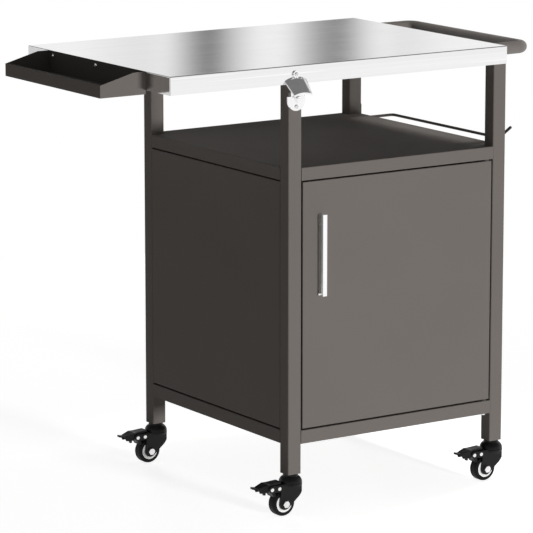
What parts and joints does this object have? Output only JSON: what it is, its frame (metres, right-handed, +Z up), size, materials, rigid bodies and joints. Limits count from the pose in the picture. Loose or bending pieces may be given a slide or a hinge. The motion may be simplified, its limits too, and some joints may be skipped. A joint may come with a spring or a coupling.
{
  "type": "grill cart",
  "caption": "Grill cart with a folded steel worktop, open shelf, cabinet with a hinged door, side tray, push handle, paper roll rod, bottle opener and braked swivel casters.",
  "frame": {"origin": "middle of the cart's outline, on the floor", "axes": "+X to the right as seen from the door's side, towards the push handle; +Y to the back; +Z up"},
  "size_m": [0.9992, 0.5642, 0.885],
  "materials": {
    "painted_steel": "satin",
    "stainless": "brushed",
    "zinc": "satin",
    "opener_chrome": "polished",
    "handle_steel": "brushed",
    "black_rod": "satin",
    "catch_plastic": "matte",
    "black_nylon": "satin",
    "white_nylon": "gloss",
    "tyre_rubber": "matte"
  },
  "bodies": {
    "cart_frame": {"worktop": "stainless", "front_top_rail": "painted_steel", "rear_top_rail": "painted_steel", "leg_front_left": "painted_steel", "leg_front_right": "painted_steel", "leg_rear_left": "painted_steel", "leg_rear_right": "painted_steel", "leg_plugs": "zinc", "mid_shelf": "painted_steel", "base_panel": "painted_steel", "left_side_panel": "painted_steel", "right_side_panel": "painted_steel", "rear_panel": "painted_steel", "frame_bolts": "zinc", "panel_screws": "zinc", "side_tray": "painted_steel", "tray_ends": "painted_steel", "tray_screws": "zinc", "push_handle": "painted_steel", "handle_plugs": "zinc", "handle_bolts": "zinc", "roll_holder": "black_rod", "roll_holder_screws": "zinc", "bottle_opener": "opener_chrome", "opener_screws": "zinc", "hinge_pins": "zinc", "door_catch": "catch_plastic", "caster_stems": "zinc"},
    "door": {"door_panel": "painted_steel", "door_stiffener": "painted_steel", "door_handle": "handle_steel", "door_handle_screws": "zinc", "door_bushes": "catch_plastic", "strike_plate": "zinc"},
    "caster_front_left": {"caster_fork_front_left": "black_nylon", "caster_axle_front_left": "zinc", "brake_pins_front_left": "zinc"},
    "wheel_front_left": {"wheel_hub_front_left": "white_nylon", "tyre_front_left": "tyre_rubber"},
    "pedal_front_left": {"brake_pedal_front_left": "black_nylon"},
    "caster_front_right": {"caster_fork_front_right": "black_nylon", "caster_axle_front_right": "zinc", "brake_pins_front_right": "zinc"},
    "wheel_front_right": {"wheel_hub_front_right": "white_nylon", "tyre_front_right": "tyre_rubber"},
    "pedal_front_right": {"brake_pedal_front_right": "black_nylon"},
    "caster_rear_left": {"caster_fork_rear_left": "black_nylon", "caster_axle_rear_left": "zinc", "brake_pins_rear_left": "zinc"},
    "wheel_rear_left": {"wheel_hub_rear_left": "white_nylon", "tyre_rear_left": "tyre_rubber"},
    "pedal_rear_left": {"brake_pedal_rear_left": "black_nylon"},
    "caster_rear_right": {"caster_fork_rear_right": "black_nylon", "caster_axle_rear_right": "zinc", "brake_pins_rear_right": "zinc"},
    "wheel_rear_right": {"wheel_hub_rear_right": "white_nylon", "tyre_rear_right": "tyre_rubber"},
    "pedal_rear_right": {"brake_pedal_rear_right": "black_nylon"}
  },
  "joints": [
    {"name": "door_hinge", "type": "hinge", "parent": "cart_frame", "child": "door", "pos_m": [0.34503, -0.2464, 0.414], "axis": [0, 0, 1], "range_deg": [0, 110]},
    {"name": "swivel_front_left", "type": "hinge", "parent": "cart_frame", "child": "caster_front_left", "pos_m": [-0.1176, -0.2389, 0.059], "axis": [0, 0, 1], "continuous": true},
    {"name": "wheel_spin_front_left", "type": "hinge", "parent": "caster_front_left", "child": "wheel_front_left", "pos_m": [-0.1386, -0.2389, 0.0254], "axis": [0, 1, 0], "continuous": true},
    {"name": "brake_front_left", "type": "hinge", "parent": "caster_front_left", "child": "pedal_front_left", "pos_m": [-0.1696, -0.2389, 0.058], "axis": [0, -1, 0], "range_deg": [0, 14]},
    {"name": "swivel_front_right", "type": "hinge", "parent": "cart_frame", "child": "caster_front_right", "pos_m": [0.3724, -0.2389, 0.059], "axis": [0, 0, 1], "continuous": true},
    {"name": "wheel_spin_front_right", "type": "hinge", "parent": "caster_front_right", "child": "wheel_front_right", "pos_m": [0.3514, -0.2389, 0.0254], "axis": [0, 1, 0], "continuous": true},
    {"name": "brake_front_right", "type": "hinge", "parent": "caster_front_right", "child": "pedal_front_right", "pos_m": [0.3204, -0.2389, 0.058], "axis": [0, -1, 0], "range_deg": [0, 14]},
    {"name": "swivel_rear_left", "type": "hinge", "parent": "cart_frame", "child": "caster_rear_left", "pos_m": [-0.1176, 0.2591, 0.059], "axis": [0, 0, 1], "continuous": true},
    {"name": "wheel_spin_rear_left", "type": "hinge", "parent": "caster_rear_left", "child": "wheel_rear_left", "pos_m": [-0.1386, 0.2591, 0.0254], "axis": [0, 1, 0], "continuous": true},
    {"name": "brake_rear_left", "type": "hinge", "parent": "caster_rear_left", "child": "pedal_rear_left", "pos_m": [-0.1696, 0.2591, 0.058], "axis": [0, -1, 0], "range_deg": [0, 14]},
    {"name": "swivel_rear_right", "type": "hinge", "parent": "cart_frame", "child": "caster_rear_right", "pos_m": [0.3724, 0.2591, 0.059], "axis": [0, 0, 1], "continuous": true},
    {"name": "wheel_spin_rear_right", "type": "hinge", "parent": "caster_rear_right", "child": "wheel_rear_right", "pos_m": [0.3514, 0.2591, 0.0254], "axis": [0, 1, 0], "continuous": true},
    {"name": "brake_rear_right", "type": "hinge", "parent": "caster_rear_right", "child": "pedal_rear_right", "pos_m": [0.3204, 0.2591, 0.058], "axis": [0, -1, 0], "range_deg": [0, 14]}
  ]
}
